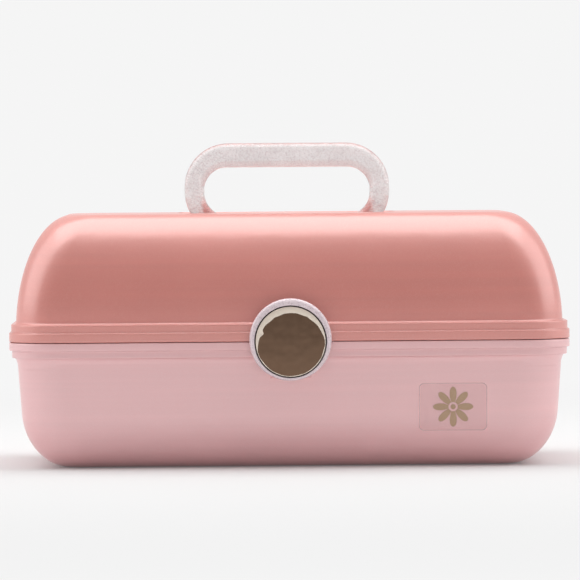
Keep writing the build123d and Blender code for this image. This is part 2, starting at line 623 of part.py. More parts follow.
def main():
    os.makedirs("parts", exist_ok=True)
    write("base_shell", make_base_shell())
    write("lid_shell", make_lid_shell())
    write("handle", make_handle())
    write("handle_rod", make_handle_rod())
    write("handle_bracket", make_handle_bracket())
    write("handle_screws", make_handle_screws())
    write("mirror_frame", make_mirror_frame())
    write("mirror_glass", make_mirror_glass())
    write("mirror_screws", make_mirror_screws())
    write("latch_body", make_latch_body())
    write("latch_mirror", make_latch_mirror())
    write("latch_pin", make_latch_pin())
    write("tray", make_tray())
    write("front_label", make_front_label())
    for name, x in zip(("left", "middle", "right"), DIVIDER_PLACES):
        write("divider_" + name, make_divider(x))
    for name, centre in (("left", -HINGE_SPACING / 2), ("right", HINGE_SPACING / 2)):
        write("hinge_pin_" + name, make_hinge_pin(centre))
    linkage = {
        "tray_arm": make_arm(),
        "arm_base_pin": make_arm_base_pin(),
        "arm_tray_pin": make_arm_tray_pin(),
        "tray_lid_pin": make_tray_lid_pin(),
    }
    for name, piece in linkage.items():
        write(name + "_right", piece)
        write(name + "_left", mirror(piece, about=Plane.YZ))


main()
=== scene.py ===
from math import cos, pi, radians, sin, tau

import bpy
import numpy as np
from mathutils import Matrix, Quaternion, Vector


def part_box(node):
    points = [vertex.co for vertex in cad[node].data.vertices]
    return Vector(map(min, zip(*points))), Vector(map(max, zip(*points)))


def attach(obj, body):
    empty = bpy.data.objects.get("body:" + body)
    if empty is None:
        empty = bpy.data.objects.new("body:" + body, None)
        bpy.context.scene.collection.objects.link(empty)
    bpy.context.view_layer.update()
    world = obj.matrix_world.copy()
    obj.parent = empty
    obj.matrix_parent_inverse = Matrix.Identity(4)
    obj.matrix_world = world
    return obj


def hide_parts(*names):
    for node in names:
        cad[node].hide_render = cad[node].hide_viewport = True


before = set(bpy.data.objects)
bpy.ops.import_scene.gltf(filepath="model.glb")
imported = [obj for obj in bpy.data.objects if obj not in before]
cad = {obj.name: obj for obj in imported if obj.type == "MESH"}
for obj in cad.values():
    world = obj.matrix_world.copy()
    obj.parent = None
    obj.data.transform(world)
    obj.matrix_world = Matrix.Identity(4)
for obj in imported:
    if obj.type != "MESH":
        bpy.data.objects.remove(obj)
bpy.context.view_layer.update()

# ---- Camera
# It stands well back from the case's front, a little above the lid and a touch to the left, so
# lines hardly converge and the flat top shows edge on. The picture leans a trifle to the right.
aim = Vector((0.0014, 0.0, 0.1021))
distance, azimuth, elevation, roll = 3.0, radians(-0.9), radians(1.5), radians(-0.44)
back = Vector((sin(azimuth) * cos(elevation), -cos(azimuth) * cos(elevation), sin(elevation)))
lens = bpy.data.cameras.new("camera")
lens.lens = 310.0
lens.clip_end = 30.0
camera = bpy.data.objects.new("camera", lens)
camera.rotation_mode = "QUATERNION"
camera.location = aim + back * distance
camera.rotation_quaternion = (-back).to_track_quat("-Z", "Y") @ Quaternion((0, 0, 1), roll)
bpy.context.scene.collection.objects.link(camera)
bpy.context.scene.camera = camera
bpy.context.scene.view_settings.view_transform = "Standard"


# ---- Studio
# The case stands on a round sweep of matt white card that curves up into a low wall. The card is
# white round the case. Far out in front it carries painted shade, a greyer colour and less glow, for a
# studio falling off behind the camera.
def enclosed(faces, points):
    """Six times the volume inside the faces: the sum of a . (b x c) over their triangles."""
    a, b, c = (points[faces[:, k]] for k in (0, 1, 2))
    volume = np.einsum("ij,ij->", a, np.cross(b, c))
    if faces.shape[1] == 4:
        d = points[faces[:, 3]]
        volume += np.einsum("ij,ij->", a, np.cross(c, d))
    return volume


def round_surface(name, *grids, closed=True, crease=35.0):
    """An object with one body for each grid[row, column, xyz].
    Quads join neighbouring points, the last column joins the first, and a fan closes the first
    row on its mean point, and the last row too if the body is closed. A closed body whose
    enclosed volume comes out negative has its faces turned."""
    points, faces, total = [], [], 0
    for grid in grids:
        rows, columns, _ = grid.shape
        around = np.arange(columns)
        after = (around + 1) % columns
        row = np.arange(rows - 1)[:, None] * columns
        quads = np.stack([row + around, row + after, row + columns + after, row + columns + around], -1)
        quads = quads.reshape(-1, 4)
        first, last = rows * columns, rows * columns + 1
        fans = [np.stack([after, around, np.full(columns, first)], -1)]
        body = [grid.reshape(-1, 3), grid[:1].mean(1)]
        if closed:
            end = (rows - 1) * columns
            fans.append(np.stack([end + around, end + after, np.full(columns, last)], -1))
            body.append(grid[-1:].mean(1))
        body, fans = np.concatenate(body), np.concatenate(fans)
        if closed and enclosed(quads, body) + enclosed(fans, body) < 0:
            quads, fans = quads[:, ::-1], fans[:, ::-1]
        points.append(body)
        faces += (quads + total).tolist() + (fans + total).tolist()
        total += len(body)
    mesh = bpy.data.meshes.new(name)
    mesh.from_pydata(np.concatenate(points).tolist(), [], faces)
    mesh.shade_smooth()
    mesh.set_sharp_from_angle(angle=radians(crease))
    piece = bpy.data.objects.new(name, mesh)
    bpy.context.scene.collection.objects.link(piece)
    return piece


def add_node(tree, kind, inputs=None, **settings):
    """A node with its settings, and its inputs given values or linked to the sockets given."""
    made = tree.nodes.new("ShaderNode" + kind)
    for key, value in settings.items():
        setattr(made, key, value)
    for key, value in (inputs or {}).items():
        if isinstance(value, bpy.types.NodeSocket):
            tree.links.new(value, made.inputs[key])
        else:
            made.inputs[key].default_value = value
    return made


def new_material(name):
    """A material with an empty node tree, and that tree."""
    material = bpy.data.materials.new(name)
    material.use_nodes = True
    material.node_tree.nodes.clear()
    return material, material.node_tree


floor_start, floor_reach, wall_bend, under_case = 0.2, 5.3, 0.7, 0.0002
floor = np.linspace(floor_start, floor_reach, 26)
turn = np.linspace(0, pi / 2, 13)[1:]
radius = np.concatenate([floor, floor_reach + wall_bend * np.sin(turn)])
height = np.concatenate([np.zeros_like(floor), wall_bend * (1 - np.cos(turn))]) - under_case
angle = np.linspace(0, tau, 120, endpoint=False)
card_grid = np.stack(np.broadcast_arrays(
    radius[:, None] * np.cos(angle), radius[:, None] * np.sin(angle), height[:, None]), -1)
sweep = round_surface("studio_sweep", card_grid, closed=False)

# The camera, gloss and glass see the card evenly pale away from the case. Close to the case it is
# plain matt card, so the case's shadow shows on it.
card_white, card_painted_shade = (0.76, 0.76, 0.76, 1), (0.45, 0.45, 0.45, 1)
grey_by, white_by = -2.6, -1.3
near_glow, far_glow, front_glow = 0.10, 0.98, 0.4
card, tree = new_material("studio_card")
place = add_node(tree, "TexCoord").outputs["Object"]
split = add_node(tree, "SeparateXYZ", {"Vector": place})
nearness = add_node(tree, "MapRange", {"Value": split.outputs["Y"], "From Min": grey_by,
                                       "From Max": white_by},
                    interpolation_type="SMOOTHSTEP").outputs["Result"]
# Painted shade: the card's colour turns grey far out in front.
tone = add_node(tree, "MixRGB", {"Fac": nearness, "Color1": card_painted_shade, "Color2": card_white})
reach = add_node(tree, "VectorMath", {0: place}, operation="LENGTH")
glowing = add_node(tree, "MapRange", {"Value": reach.outputs["Value"], "From Min": 0.22, "From Max": 1.1,
                                      "To Min": near_glow, "To Max": far_glow},
                   interpolation_type="SMOOTHSTEP")
path = add_node(tree, "LightPath")
seen = add_node(tree, "Math", {0: path.outputs["Is Camera Ray"], 1: path.outputs["Is Glossy Ray"]},
                operation="MAXIMUM")
seen = add_node(tree, "Math", {0: seen.outputs[0], 1: path.outputs["Is Transmission Ray"]},
                operation="MAXIMUM")
share = add_node(tree, "Math", {0: seen.outputs[0], 1: glowing.outputs["Result"]}, operation="MULTIPLY")
# Painted shade: far out in front the glow share falls to front_glow, so the card is darker there.
fading = add_node(tree, "MapRange", {"Value": nearness, "To Min": front_glow, "To Max": 1.0})
share = add_node(tree, "Math", {0: share.outputs[0], 1: fading.outputs["Result"]}, operation="MULTIPLY")
matt = add_node(tree, "BsdfDiffuse", {"Color": tone.outputs["Color"]})
glow = add_node(tree, "Emission", {"Color": (0.925, 0.925, 0.925, 1), "Strength": 1.0})
shown = add_node(tree, "MixShader", {"Fac": share.outputs[0], 1: matt.outputs[0], 2: glow.outputs[0]})
add_node(tree, "OutputMaterial", {"Surface": shown.outputs[0]})
sweep.data.materials.append(card)

# The room is brightest behind the case and overhead, and dims towards the front and the floor.
world = bpy.data.worlds.new("studio_room")
bpy.context.scene.world = world
world.use_nodes = True
tree = world.node_tree
tree.nodes.clear()
place = add_node(tree, "TexCoord")
split = add_node(tree, "SeparateXYZ", {"Vector": place.outputs["Generated"]})
behind = add_node(tree, "Math", {0: split.outputs["Y"], 1: 0.43, 2: 0.5}, operation="MULTIPLY_ADD")
facing = add_node(tree, "Math", {0: split.outputs["Z"], 1: 0.26, 2: behind.outputs[0]},
                  operation="MULTIPLY_ADD")
room_levels = ((0.0, 0.28), (0.30, 0.36), (0.45, 0.52), (0.60, 0.66), (0.80, 0.74), (1.0, 0.85))
ramp = add_node(tree, "ValToRGB", {"Fac": facing.outputs[0]})
while len(ramp.color_ramp.elements) < len(room_levels):
    ramp.color_ramp.elements.new(0.5)
for stop, (position, level) in zip(ramp.color_ramp.elements, room_levels):
    stop.position = position
    stop.color = (level, level, level, 1)
room = add_node(tree, "Background", {"Color": ramp.outputs["Color"]})
add_node(tree, "OutputWorld", {"Surface": room.outputs[0]})


def soft_box(name, place, target, width, depth, power):
    """A rectangular lamp at place, facing target."""
    lamp = bpy.data.lights.new(name, "AREA")
    lamp.shape = "RECTANGLE"
    lamp.size, lamp.size_y, lamp.energy = width, depth, power
    box = bpy.data.objects.new(name, lamp)
    box.location = place
    box.rotation_mode = "QUATERNION"
    box.rotation_quaternion = (Vector(target) - Vector(place)).to_track_quat("-Z", "Y")
    bpy.context.scene.collection.objects.link(box)


soft_box("overhead_lamp", place=(0, 0.15, 1.55), target=(0, 0.149, 0), width=2.2, depth=1.5, power=16.5)
for name, sign in (("left_lamp", -1), ("right_lamp", 1)):
    soft_box(name, place=(sign * 1.35, 0.0, 0.85), target=(0, 0, 0.1), width=1.3, depth=1.3, power=4.6)


# ---- Base shell
# One moulding of hard plastic with mica in it, a pearl blush that is satin rather than glossy. The
# mica lies flat under the skin and glints, and the melt leaves faint streaks along the case.
def new_group(name, inputs, outputs):
    """A shader node group with its sockets: its tree, its inputs' sockets and its outputs' sockets."""
    group = bpy.data.node_groups.new(name, "ShaderNodeTree")
    for key, kind, value in inputs:
        socket = group.interface.new_socket(key, in_out="INPUT", socket_type="NodeSocket" + kind)
        socket.default_value = value
    for key, kind in outputs:
        group.interface.new_socket(key, in_out="OUTPUT", socket_type="NodeSocket" + kind)
    return group, group.nodes.new("NodeGroupInput").outputs, group.nodes.new("NodeGroupOutput").inputs


def use_group(tree, group, inputs):
    """The group placed in a material, with that material's own values."""
    placed = add_node(tree, "Group", node_tree=group)
    for key, value in inputs.items():
        placed.inputs[key].default_value = value
    return placed.outputs


mica_skin, given, put = new_group(
    "mica skin",
    [("Body", "Color", (1, 1, 1, 1)), ("Mica", "Color", (1, 1, 1, 1)), ("Mica Share", "Float", 0.15),
     ("Gloss", "Float", 0.3)],
    [("Colour", "Color"), ("Roughness", "Float"), ("Height", "Float")])
place = add_node(mica_skin, "TexCoord").outputs["Object"]
cells = add_node(mica_skin, "TexVoronoi", {"Vector": place, "Scale": 2600.0})
glint = add_node(mica_skin, "MapRange", {"Value": cells.outputs["Color"], "From Min": 0.55,
                                         "From Max": 1.0})
amount = add_node(mica_skin, "Math", {0: glint.outputs["Result"], 1: given["Mica Share"]},
                  operation="MULTIPLY")
stretch = add_node(mica_skin, "Mapping", {"Vector": place, "Scale": (3.0, 3.0, 260.0)})
streaks = add_node(mica_skin, "TexNoise", {"Vector": stretch.outputs["Vector"], "Scale": 1.0,
                                           "Detail": 3.0})
clouds = add_node(mica_skin, "TexNoise", {"Vector": place, "Scale": 14.0, "Detail": 2.0})
flow = add_node(mica_skin, "Math", {0: streaks.outputs["Fac"], 1: clouds.outputs["Fac"]},
                operation="ADD")
shade = add_node(mica_skin, "MapRange", {"Value": flow.outputs[0], "From Min": 0.6, "From Max": 1.4,
                                         "To Min": 0.95, "To Max": 1.05})
toned = add_node(mica_skin, "VectorMath", {0: given["Body"], "Scale": shade.outputs["Result"]},
                 operation="SCALE")
mixed = add_node(mica_skin, "MixRGB", {"Fac": amount.outputs[0], "Color1": toned.outputs[0],
                                       "Color2": given["Mica"]})
mica_skin.links.new(mixed.outputs["Color"], put["Colour"])
satin = add_node(mica_skin, "MapRange", {"Value": clouds.outputs["Fac"], "From Min": 0.3,
                                         "From Max": 0.7, "To Min": -0.02, "To Max": 0.02})
rough = add_node(mica_skin, "Math", {0: satin.outputs["Result"], 1: given["Gloss"]}, operation="ADD")
mica_skin.links.new(rough.outputs[0], put["Roughness"])
peel = add_node(mica_skin, "TexNoise", {"Vector": place, "Scale": 420.0, "Detail": 1.0})
mica_skin.links.new(peel.outputs["Fac"], put["Height"])


def pearl(name, body, mica):
    """Pearl plastic: a mica skin, a little metallic, with the strong clear gloss of a dense pearl.
    Its normals are rounded over the moulding's edges and then ruffled by the skin's height."""
    material, tree = new_material(name)
    skin = use_group(tree, mica_skin, {"Body": body, "Mica": mica, "Mica Share": 0.15, "Gloss": 0.31})
    edge = add_node(tree, "Bevel", {"Radius": 0.0015}, samples=6)
    bump = add_node(tree, "Bump", {"Height": skin["Height"], "Strength": 0.04, "Distance": 0.0004,
                                   "Normal": edge.outputs["Normal"]})
    shader = add_node(tree, "BsdfPrincipled", {
        "Base Color": skin["Colour"], "Roughness": skin["Roughness"], "Normal": bump.outputs["Normal"],
        "Metallic": 0.1, "IOR": 2.9, "Coat Weight": 0.3, "Coat Roughness": 0.15})
    add_node(tree, "OutputMaterial", {"Surface": shader.outputs["BSDF"]})
    return material


def dress(material, *names):
    """Gives CAD nodes their finish."""
    for name in names:
        cad[name].data.materials.clear()
        cad[name].data.materials.append(material)


blush_pearl = pearl("blush_pearl", (0.92, 0.47, 0.48, 1), (0.97, 0.76, 0.76, 1))
dress(blush_pearl, "base_shell")

# ---- Lid shell
# The lid is moulded from the same pearl plastic in a deeper rose gold, and so is the bracket that
# carries the handle.
rose_pearl = pearl("rose_pearl", (0.78, 0.205, 0.16, 1), (0.97, 0.62, 0.54, 1))
dress(rose_pearl, "lid_shell", "handle_bracket")

# ---- Tray, dividers, arms and mirror frame
# Inside pieces are moulded from plain blush plastic without mica. Their moulds were spark eroded,
# which leaves a fine even grain, and handling polishes it a little here and there.
mould_grain, given, put = new_group(
    "mould grain", [("Body", "Color", (1, 1, 1, 1)), ("Gloss", "Float", 0.45)],
    [("Colour", "Color"), ("Roughness", "Float"), ("Height", "Float")])
place = add_node(mould_grain, "TexCoord").outputs["Object"]
grain = add_node(mould_grain, "TexNoise", {"Vector": place, "Scale": 2200.0, "Detail": 2.0})
worn = add_node(mould_grain, "TexNoise", {"Vector": place, "Scale": 22.0, "Detail": 3.0})
shade = add_node(mould_grain, "MapRange", {"Value": worn.outputs["Fac"], "From Min": 0.3,
                                           "From Max": 0.7, "To Min": 0.95, "To Max": 1.04})
toned = add_node(mould_grain, "VectorMath", {0: given["Body"], "Scale": shade.outputs["Result"]},
                 operation="SCALE")
mould_grain.links.new(toned.outputs[0], put["Colour"])
rubbed = add_node(mould_grain, "MapRange", {"Value": worn.outputs["Fac"], "From Min": 0.35,
                                            "From Max": 0.65, "To Min": -0.06, "To Max": 0.06})
rough = add_node(mould_grain, "Math", {0: rubbed.outputs["Result"], 1: given["Gloss"]}, operation="ADD")
mould_grain.links.new(rough.outputs[0], put["Roughness"])
mould_grain.links.new(grain.outputs["Fac"], put["Height"])

inner_blush, tree = new_material("inner_blush")
skin = use_group(tree, mould_grain, {"Body": (0.78, 0.52, 0.50, 1), "Gloss": 0.42})
bump = add_node(tree, "Bump", {"Height": skin["Height"], "Strength": 0.12, "Distance": 0.0003})
shader = add_node(tree, "BsdfPrincipled", {
    "Base Color": skin["Colour"], "Roughness": skin["Roughness"], "Normal": bump.outputs["Normal"],
    "IOR": 1.5})
add_node(tree, "OutputMaterial", {"Surface": shader.outputs["BSDF"]})
dress(inner_blush, "tray", "divider_left", "divider_middle", "divider_right", "tray_arm_left",
      "tray_arm_right", "mirror_frame")


# ---- Pins and rods
# Steel wire cut to length, with its ends broken by a small chamfer. Drawing leaves fine scratches
# along X. The hinge pins, the latch's pin and the handle's rod are all made this way.
def turned(centre, profile, sides=48):
    """A body of revolution about X through centre: the profile's (along, radius) pairs go round."""
    along, radius = np.array(profile).T[:, :, None]
    angle = np.linspace(0, tau, sides, endpoint=False)
    across, up = radius * np.cos(angle), radius * np.sin(angle)
    return np.stack([np.broadcast_to(along, across.shape), across, up], -1) + centre


def node_box(name):
    """Lowest and highest corners of a CAD node, as arrays."""
    low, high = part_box(name)
    return np.array(low), np.array(high)


def fit_piece(piece, material, body, node):
    """Gives a new piece its material, and lets it stand for the node on that body."""
    piece.data.materials.append(material)
    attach(piece, body)
    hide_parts(node)


steel, tree = new_material("drawn_steel")
place = add_node(tree, "TexCoord").outputs["Object"]
stretch = add_node(tree, "Mapping", {"Vector": place, "Scale": (60.0, 2600.0, 2600.0)})
scratch = add_node(tree, "TexNoise", {"Vector": stretch.outputs["Vector"], "Scale": 1.0, "Detail": 3.0})
rough = add_node(tree, "MapRange", {"Value": scratch.outputs["Fac"], "To Min": 0.16, "To Max": 0.42})
tone = add_node(tree, "MixRGB", {"Fac": scratch.outputs["Fac"], "Color1": (0.50, 0.50, 0.51, 1),
                                 "Color2": (0.70, 0.70, 0.71, 1)})
bump = add_node(tree, "Bump", {"Height": scratch.outputs["Fac"], "Strength": 0.05, "Distance": 0.0002})
shader = add_node(tree, "BsdfPrincipled", {
    "Base Color": tone.outputs["Color"], "Roughness": rough.outputs["Result"],
    "Normal": bump.outputs["Normal"], "Metallic": 1.0})
add_node(tree, "OutputMaterial", {"Surface": shader.outputs["BSDF"]})

pin_chamfer = 0.0004
for name, body in (("hinge_pin_left", "base"), ("hinge_pin_right", "base"), ("latch_pin", "base"),
                   ("handle_rod", "handle")):
    low, high = node_box(name)
    r = (high[2] - low[2]) / 2
    half = (high[0] - low[0]) / 2
    profile = [(-half, r - pin_chamfer), (-half + pin_chamfer, r), (half - pin_chamfer, r),
               (half, r - pin_chamfer)]
    piece = round_surface(name + "_wire", turned((low + high) / 2, profile))
    fit_piece(piece, steel, body, name)

# ---- Rivets of the tray's linkage
# Steel rivets with low domed heads. One on each side joins an arm to the base, one the arm to the
# tray, and one the tray's ear to the lid. The head of the middle one faces out, the others face in.
rivet_shank = 0.0015
rivet_head_thick = 0.001
dome = np.linspace(0, pi / 2, 9)[1:-1]
for name, body in (("arm_base_pin", "base"), ("arm_tray_pin", "tray"), ("tray_lid_pin", "lid")):
    for side, sign in (("left", -1.0), ("right", 1.0)):
        node = name + "_" + side
        low, high = node_box(node)
        head_r = (high[2] - low[2]) / 2
        length = high[0] - low[0]
        out = sign if name == "arm_tray_pin" else -sign
        crown = [(length / 2 - rivet_head_thick * (1 - sin(t)), head_r * cos(t)) for t in dome]
        profile = [(-length / 2, rivet_shank - pin_chamfer), (-length / 2 + pin_chamfer, rivet_shank),
                   (length / 2 - rivet_head_thick, rivet_shank), (length / 2 - rivet_head_thick, head_r)]
        profile = [(out * along, r) for along, r in profile + crown]
        piece = round_surface(node + "_rivet", turned((low + high) / 2, profile))
        fit_piece(piece, steel, body, node)


# ---- Screws
# Pan head screws with a cross recess, driven upwards: two hold the handle's bracket from inside the
# lid and four hold the mirror's frame. Their threads are cut into plain steel wire.
screw_wire, screw_head, head_thick = 0.0015, 0.0028, 0.0018
screw_pitch, thread_deep = 0.0008, 0.00015
cross_reach, cross_half, cross_deep = 0.0017, 0.00033, 0.0009
cross_soft, cross_runout, rim_share = 0.0001, 0.0005, 0.35


def screw_grid(x, y, tip, under):
    """A screw about Z from its tip down to the crown of its head. The thread is a wave of radius
    that climbs one pitch a turn. The pan head is a quarter ellipse over a straight rim, sunk by a
    cross: the nearer of the two arms' middle lines, fading out towards the head's rim."""
    seat = under + head_thick
    angle = np.linspace(0, tau, 96, endpoint=False)
    climb = np.arange(tip - screw_pitch / 2, seat + screw_pitch, -screw_pitch / 6)[:, None]
    shank_r = screw_wire - thread_deep * (0.5 - 0.5 * np.cos(tau * climb / screw_pitch - angle))
    t = np.linspace(0.0, 0.98, 26)[:, None] * pi / 2
    dome_r = screw_head * np.cos(t)
    arms = np.maximum(*(np.clip((cross_half + cross_soft - abs(dome_r * w)) / (2 * cross_soft), 0, 1)
                        for w in (np.cos(angle), np.sin(angle))))
    sunk = cross_deep * arms * np.clip((cross_reach - dome_r) / cross_runout, 0, 1)
    dome_z = seat - head_thick * (rim_share + (1 - rim_share) * np.sin(t)) + sunk
    runs = (([[tip]], [[screw_wire * 0.6]]), (climb, shank_r), ([[seat]], [[screw_wire]]),
            ([[seat]], [[screw_head - 0.0001]]), (dome_z, dome_r))
    z, r = (np.concatenate([part + np.zeros(angle.size) for part in parts]) for parts in zip(*runs))
    return np.stack([x + r * np.cos(angle), y + r * np.sin(angle), z], -1)


for node in ("handle_screws", "mirror_screws"):
    low, high = node_box(node)
    xs = (low[0] + screw_head, high[0] - screw_head)
    ys = {round(low[1] + screw_head, 6), round(high[1] - screw_head, 6)}
    grids = [screw_grid(x, y, high[2], low[2]) for x in xs for y in sorted(ys)]
    piece = round_surface(node + "_cross_head", *grids)
    fit_piece(piece, steel, "lid", node)

# ---- Handle
# A thick loop cast in clear resin with pink tint and fine pearl flakes stirred in. Its skin is
# glassy and smooth, so the flakes seem to float just under it.
glitter_fill, given, put = new_group(
    "glitter fill",
    [("Body", "Color", (1, 1, 1, 1)), ("Flake", "Color", (1, 1, 1, 1)), ("Flake Share", "Float", 0.5)],
    [("Colour", "Color"), ("Roughness", "Float"), ("Height", "Float")])
place = add_node(glitter_fill, "TexCoord").outputs["Object"]
flakes = add_node(glitter_fill, "TexVoronoi", {"Vector": place, "Scale": 900.0})
chosen = add_node(glitter_fill, "MapRange", {"Value": flakes.outputs["Color"], "From Min": 0.45,
                                             "From Max": 0.55})
disc = add_node(glitter_fill, "MapRange", {"Value": flakes.outputs["Distance"], "From Min": 0.52,
                                           "From Max": 0.34})
spot = add_node(glitter_fill, "Math", {0: chosen.outputs["Result"], 1: disc.outputs["Result"]},
                operation="MULTIPLY")
amount = add_node(glitter_fill, "Math", {0: spot.outputs[0], 1: given["Flake Share"]},
                  operation="MULTIPLY")
swirl = add_node(glitter_fill, "TexNoise", {"Vector": place, "Scale": 90.0, "Detail": 3.0})
shade = add_node(glitter_fill, "MapRange", {"Value": swirl.outputs["Fac"], "From Min": 0.35,
                                            "From Max": 0.65, "To Min": 0.93, "To Max": 1.04})
toned = add_node(glitter_fill, "VectorMath", {0: given["Body"], "Scale": shade.outputs["Result"]},
                 operation="SCALE")
mixed = add_node(glitter_fill, "MixRGB", {"Fac": amount.outputs[0], "Color1": toned.outputs[0],
                                          "Color2": given["Flake"]})
glitter_fill.links.new(mixed.outputs["Color"], put["Colour"])
rough = add_node(glitter_fill, "MapRange", {"Value": spot.outputs[0], "To Min": 0.14, "To Max": 0.25})
glitter_fill.links.new(rough.outputs["Result"], put["Roughness"])
tilt = add_node(glitter_fill, "Math", {0: flakes.outputs["Color"], 1: disc.outputs["Result"]},
                operation="MULTIPLY")
glitter_fill.links.new(tilt.outputs[0], put["Height"])


def resin(name, body, flake, share, clear):
    """Tinted resin with flakes in it, under its own clear skin."""
    material, tree = new_material(name)
    fill = use_group(tree, glitter_fill, {"Body": body, "Flake": flake, "Flake Share": share})
    bump = add_node(tree, "Bump", {"Height": fill["Height"], "Strength": 0.5, "Distance": 0.0003})
    shader = add_node(tree, "BsdfPrincipled", {
        "Base Color": fill["Colour"], "Roughness": fill["Roughness"], "Normal": bump.outputs["Normal"],
        "IOR": 1.49, "Transmission Weight": clear, "Coat Weight": 1.0, "Coat Roughness": 0.04})
    add_node(tree, "OutputMaterial", {"Surface": shader.outputs["BSDF"]})
    return material


dress(resin("clear_pink_resin", (1.0, 0.95, 0.95, 1), (0.72, 0.58, 0.60, 1), 0.55, 0.8), "handle")

# ---- Latch body
# The round cap is cast from the same resin with more tint in it, lilac against the rose of the lid.
dress(resin("lilac_resin", (1.0, 0.85, 0.89, 1), (0.74, 0.58, 0.66, 1), 0.5, 0.12), "latch_body")

# ---- Latch insert
# A disc of bronze mirror plastic, pressed into the cap. Its edge was bevelled by hand on a wheel,
# wide at the top and thin below, so the bevel's inner border wanders. The bevel is painted pale cream, a
# painted reflection of the light overhead, and its outer edge is painted near black.
def mark_rows(piece, name, columns, rows):
    """A value for each of the piece's points: 1 on those rows of its grid, 0 elsewhere."""
    value = np.zeros(len(piece.data.vertices), np.float32)
    value[rows.start * columns:rows.stop * columns] = 1.0
    piece.data.attributes.new(name, "FLOAT", "POINT").data.foreach_set("value", value)


low, high = node_box("latch_mirror")
insert_r = (high[0] - low[0]) / 2
insert_x, insert_z = (low[0] + high[0]) / 2, (low[2] + high[2]) / 2
insert_front, insert_back = low[1], high[1]
dark_rim_width, edge_drop, edge_round = 0.0006, 0.0004, 0.0001
bevel_least, bevel_top, nick, nick_at, nick_half = 0.00035, 0.0031, 0.0016, radians(164), 0.09
bevel_slope = 0.4 * np.tan(radians(34))

# The bevel's width goes round the disc as a raised sine, widest at the top, plus the wheel's
# wander, a sum of twelve small waves, and one nick. Rows of the grid run from the middle outwards.
angle = np.linspace(0, tau, 192, endpoint=False)
chance = np.random.default_rng(11)
wander = sum(chance.normal(0, 0.00028 / np.sqrt(k)) * np.cos(k * angle + chance.uniform(0, tau))
             for k in range(3, 15))
raised = np.clip(np.sin(angle - 0.16) + 0.12, 0, None)
bevel = bevel_least + bevel_top * raised ** 0.75 + 0.8 * abs(wander)
bevel = bevel + nick * np.exp(-((angle - nick_at) / nick_half) ** 2)
flat_r = insert_r - dark_rim_width
face_shares, bevel_shares = (0.06, 0.3, 0.6, 0.85, 1.0), (0.02, 0.35, 0.7, 1.0)
thick = insert_back - insert_front
rings = [(share * (flat_r - bevel), 0.0) for share in face_shares]
rings += [(flat_r - bevel * (1 - share), share * bevel * bevel_slope) for share in bevel_shares]
rings += [(insert_r - edge_round, bevel * bevel_slope + edge_drop)]
rings += [(insert_r, thick), (insert_r * 0.5, thick)]
r, depth = (np.array([part + np.zeros(angle.size) for part in parts]) for parts in zip(*rings))
insert_grid = np.stack([insert_x + r * np.cos(angle), insert_front + depth,
                        insert_z + r * np.sin(angle)], -1)
insert = round_surface("latch_insert", insert_grid, crease=12.0)
bevel_rows = range(len(face_shares), len(face_shares) + len(bevel_shares))
mark_rows(insert, "bevel_reflection", angle.size, bevel_rows)

bronze, tree = new_material("bronze_mirror_plastic")
place = add_node(tree, "TexCoord").outputs["Object"]
centred = add_node(tree, "VectorMath", {0: place, 1: (insert_x, insert_front, insert_z)},
                   operation="SUBTRACT")
flat = add_node(tree, "VectorMath", {0: centred.outputs[0], 1: (1, 0, 1)}, operation="MULTIPLY")
out_from = add_node(tree, "VectorMath", {0: flat.outputs[0]}, operation="LENGTH")
# The insert's outer edge, beyond its flat face, is painted near black.
dark_rim = add_node(tree, "MapRange", {"Value": out_from.outputs["Value"],
                                   "From Min": insert_r - dark_rim_width - 0.0002,
                                   "From Max": insert_r - dark_rim_width})
blotch = add_node(tree, "TexNoise", {"Vector": place, "Scale": 260.0, "Detail": 2.0})
film = add_node(tree, "MixRGB", {"Fac": blotch.outputs["Fac"], "Color1": (0.165, 0.098, 0.064, 1),
                                 "Color2": (0.205, 0.128, 0.086, 1)})
bevel_reflection = add_node(tree, "Attribute", attribute_name="bevel_reflection").outputs["Fac"]
# Painted reflection: the bevel's rows are coloured pale cream, and made less metallic and rougher.
painted_reflection = add_node(tree, "MixRGB", {"Fac": bevel_reflection, "Color1": film.outputs["Color"],
                                  "Color2": (1.0, 0.88, 0.75, 1)})
edged = add_node(tree, "MixRGB", {"Fac": dark_rim.outputs["Result"], "Color1": painted_reflection.outputs["Color"],
                                  "Color2": (0.03, 0.015, 0.012, 1)})
metal = add_node(tree, "MapRange", {"Value": bevel_reflection, "To Min": 1.0, "To Max": 0.15})
polish = add_node(tree, "MapRange", {"Value": blotch.outputs["Fac"], "To Min": 0.04, "To Max": 0.10})
rough = add_node(tree, "MapRange", {"Value": bevel_reflection, "To Min": polish.outputs["Result"], "To Max": 0.38})
ripple = add_node(tree, "TexNoise", {"Vector": place, "Scale": 130.0, "Detail": 1.0})
bump = add_node(tree, "Bump", {"Height": ripple.outputs["Fac"], "Strength": 0.05, "Distance": 0.0005})
shader = add_node(tree, "BsdfPrincipled", {
    "Base Color": edged.outputs["Color"], "Roughness": rough.outputs["Result"],
    "Normal": bump.outputs["Normal"], "Metallic": metal.outputs["Result"]})
add_node(tree, "OutputMaterial", {"Surface": shader.outputs["BSDF"]})
fit_piece(insert, bronze, "latch", "latch_mirror")


# ---- Lid mirror
# A plate of silvered glass with a narrow polished bevel, glued into its frame. It faces down when
# the lid is shut, and dust leaves faint wipe marks on it.
def rounded_outline(length, depth, corner, points=192):
    """Points round a rounded rectangle: evenly spaced ones on the sharp rectangle, each drawn to
    the corner's radius from its nearest point on the rectangle of the corners' centres."""
    step = np.linspace(0, 4, points, endpoint=False)
    sharp = np.stack([np.interp(step, range(5), (1, 1, -1, -1, 1)) * length / 2,
                      np.interp(step, range(5), (-1, 1, 1, -1, -1)) * depth / 2])
    room = np.array([[length / 2 - corner], [depth / 2 - corner]])
    centre = np.clip(sharp, -room, room)
    return centre + corner * (sharp - centre) / np.linalg.norm(sharp - centre, axis=0)


